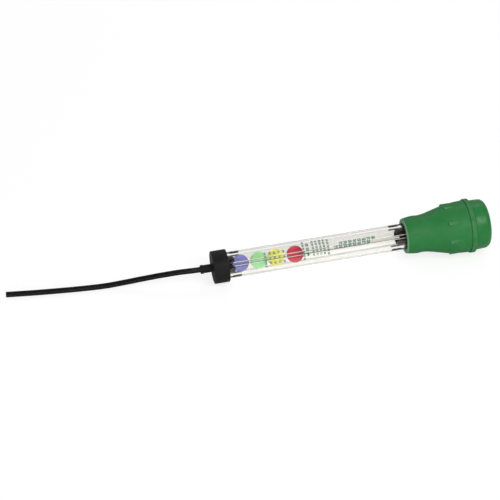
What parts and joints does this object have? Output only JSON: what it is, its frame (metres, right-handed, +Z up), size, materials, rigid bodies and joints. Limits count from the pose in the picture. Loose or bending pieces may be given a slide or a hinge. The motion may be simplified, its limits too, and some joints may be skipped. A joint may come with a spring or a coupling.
{
  "type": "antifreeze tester",
  "caption": "Coolant tester: rubber squeeze bulb on a clear tube of sliding coloured discs, with a tip cap and a sampling hose that lies on the bench",
  "frame": {"origin": "on the surface that the tester lies on, under the middle of the tester's box without its hose", "axes": "+Z up, +X along the tester towards the bulb; the long axis climbs 2.4 degrees in +X, because the tester lies on its bulb's collar and on its smaller tip cap"},
  "size_m": [0.3913, 0.0442, 0.0442],
  "materials": {
    "green_rubber": "satin moulded rubber",
    "clear_plastic": "clear and polished",
    "black_plastic": "moulded",
    "black_rubber": "matt moulded rubber",
    "hose_rubber": "smooth extruded rubber",
    "float_blue": "moulded",
    "float_green": "moulded",
    "float_yellow": "moulded",
    "float_red": "moulded"
  },
  "bodies": {
    "tester": {"squeeze_bulb": "green_rubber", "clear_tube": "clear_plastic", "lower_stop": "black_plastic", "upper_stop": "black_plastic", "tip_cap": "black_rubber", "sampling_hose": "hose_rubber"},
    "blue_disc": {"float_blue": "float_blue"},
    "green_disc": {"float_green": "float_green"},
    "yellow_disc": {"float_yellow": "float_yellow"},
    "red_disc": {"float_red": "float_red"}
  },
  "joints": [
    {"name": "blue_slide", "type": "slide", "parent": "tester", "child": "blue_disc", "axis": [0.9991, 0, 0.0422], "range_m": [0, 0.0195]},
    {"name": "green_slide", "type": "slide", "parent": "blue_disc", "child": "green_disc", "axis": [0.9991, 0, 0.0422], "range_m": [-0.0013, 0.0195]},
    {"name": "yellow_slide", "type": "slide", "parent": "green_disc", "child": "yellow_disc", "axis": [0.9991, 0, 0.0422], "range_m": [0, 0.0195]},
    {"name": "red_slide", "type": "slide", "parent": "yellow_disc", "child": "red_disc", "axis": [0.9991, 0, 0.0422], "range_m": [-0.002, 0.0195]}
  ]
}
